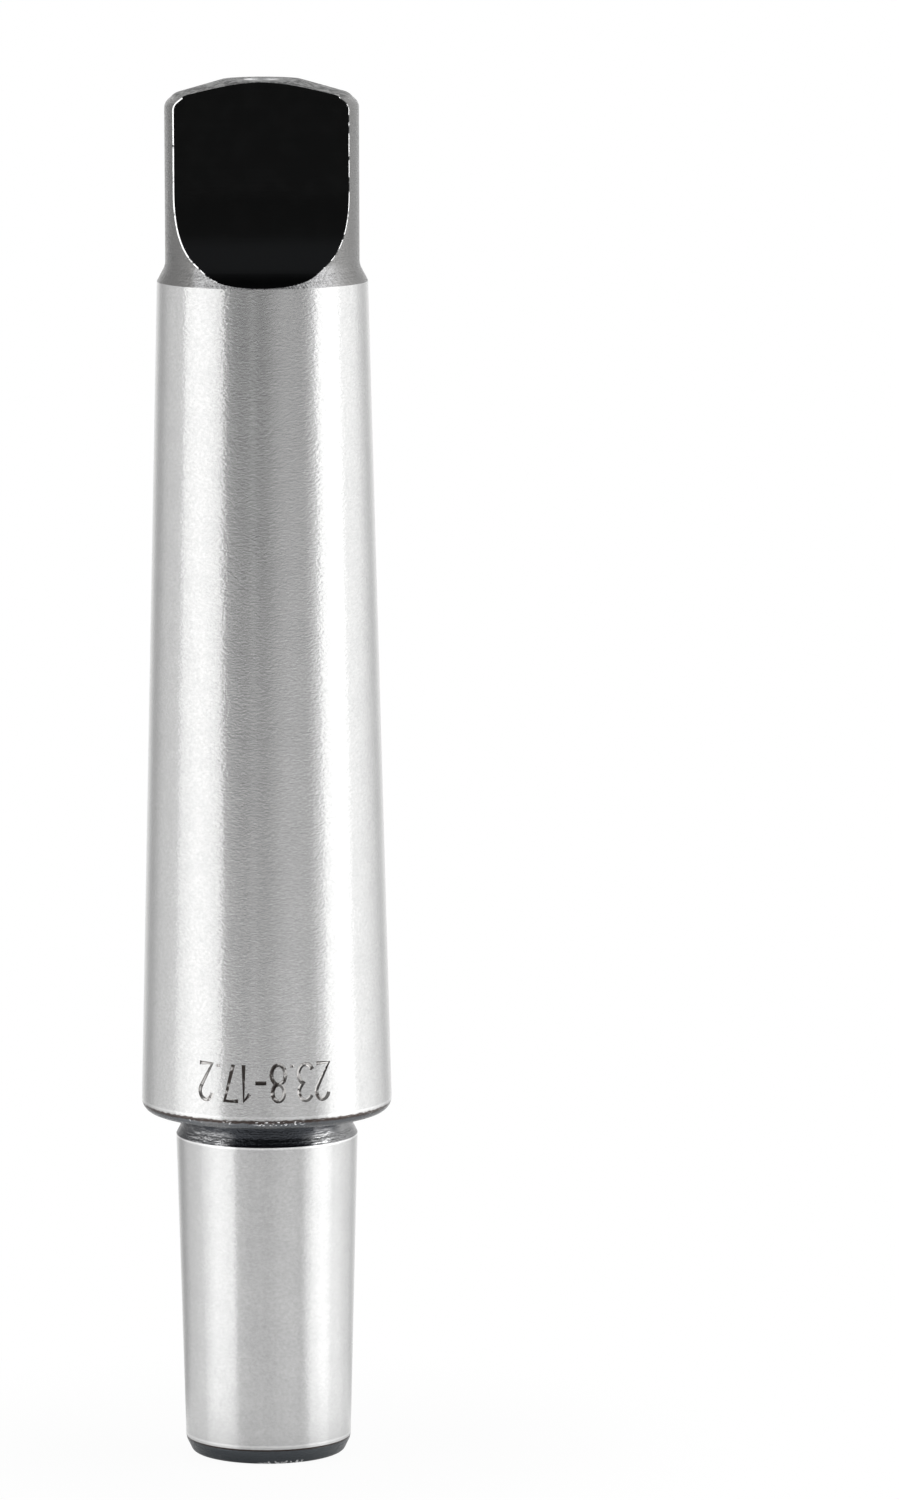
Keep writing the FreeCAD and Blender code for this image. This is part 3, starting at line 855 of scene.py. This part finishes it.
seen = multiplied(tree, seen, blend_value(tree, past_shadow, 1 - SHADOW_KEPT, 1.0))
lift = larger_of(tree, seen, in_metal)
# Painted light: how bright the card glows in the metal at each bearing.
shade = shade_by_bearing(tree, place, SWEEP_PAINTED_LIGHT)
away = ramp_value(tree, from_axis, *SHADES_BEGIN)
unseen = blend_value(tree, rays.outputs["Is Camera Ray"], 1.0, 0.0)
pale = blend_colour(tree, multiplied(tree, away, unseen), WHITE, shade)
white = add_node(tree, "ShaderNodeEmission", {"Color": pale, "Strength": 1.0})
card = add_node(tree, "ShaderNodeMixShader", {
    0: lift, 1: shader.outputs["BSDF"], 2: white.outputs["Emission"]})
sides = tree.nodes.new("ShaderNodeNewGeometry")
seen_from_behind = multiplied(tree, sides.outputs["Backfacing"], rays.outputs["Is Camera Ray"])
clear = tree.nodes.new("ShaderNodeBsdfTransparent")
card = add_node(tree, "ShaderNodeMixShader", {
    0: seen_from_behind, 1: card.outputs["Shader"], 2: clear.outputs["BSDF"]})
tree.links.new(card.outputs["Shader"], card_output.inputs["Surface"])

# Studio light: a large soft box on each side, in a room that is dark behind the camera and
# pale at the sides and the back. Its ceiling is dim, and the camera sees it white.
CEILING = (0.26, 0.265, 0.28, 1)
CEILING_FROM = (0.70, 0.92)
ROOM_SHADES = [
    (-180, 0.8), (-145, 0.6), (-105, 0.9), (-60, 0.6), (-38, 0.13), (-21, 0.07), (-15, 0.10), (-10, 0.27),
    (-4, 0.09), (0, 0.10), (7, 0.17), (15, 0.30), (25, 0.36), (37, 0.32), (46, 0.20), (52, 0.26), (65, 0.8),
    (90, 1.7), (115, 1.8), (145, 0.8), (180, 0.8)]
SOFT_BOXES = [
    # Name, degrees round from the camera's side (left is -), distance, width, height, brightness
    ("soft_box_left", -66.3, 1.1, 1.04, 1.5, 1.24),
    ("soft_box_right", 75.6, 1.1, 0.63, 1.5, 1.18),
]
for name, bearing, distance, width, height, brightness in SOFT_BOXES:
    lamp = bpy.data.lights.new(name, "AREA")
    lamp.shape = "RECTANGLE"
    lamp.size = width
    lamp.size_y = height
    lamp.energy = math.pi * width * height * brightness
    box = bpy.data.objects.new(name, lamp)
    turn = math.radians(bearing)
    box.location = (distance * math.sin(turn), -distance * math.cos(turn), height / 2)
    box.rotation_euler = (math.radians(90), 0, turn)
    bpy.context.scene.collection.objects.link(box)

room = bpy.data.worlds.new("room")
room.use_nodes = True
tree = room.node_tree
walls = tree.nodes["Background"]
facing = tree.nodes.new("ShaderNodeTexCoord").outputs["Generated"]
wall_shade = shade_by_bearing(tree, facing, ROOM_SHADES)
upward = add_node(tree, "ShaderNodeSeparateXYZ", {0: facing}).outputs["Z"]
overhead = ramp_value(tree, upward, *CEILING_FROM)
room_shade = blend_colour(tree, overhead, wall_shade, CEILING)
rays = tree.nodes.new("ShaderNodeLightPath")
room_shade = blend_colour(tree, rays.outputs["Is Camera Ray"], room_shade, WHITE)
tree.links.new(room_shade, walls.inputs["Color"])
walls.inputs["Strength"].default_value = 1.0
bpy.context.scene.world = room
bpy.context.scene.view_settings.view_transform = "Standard"

# The camera, at the photograph's place and angle: a long lens that looks a little down.
CAMERA_PLACE = (0.01769, -0.84746, 0.18669)
CAMERA_PITCH = 7.954
CAMERA_ROLL = 0.139
CAMERA_LENS = 214.2

view = bpy.data.cameras.new("camera")
view.lens = CAMERA_LENS
view.sensor_width = 36
camera = bpy.data.objects.new("camera", view)
camera.matrix_world = (
    Matrix.Translation(CAMERA_PLACE)
    @ Matrix.Rotation(math.radians(90 - CAMERA_PITCH), 4, "X")
    @ Matrix.Rotation(math.radians(-CAMERA_ROLL), 4, "Z"))
bpy.context.scene.collection.objects.link(camera)
bpy.context.scene.camera = camera
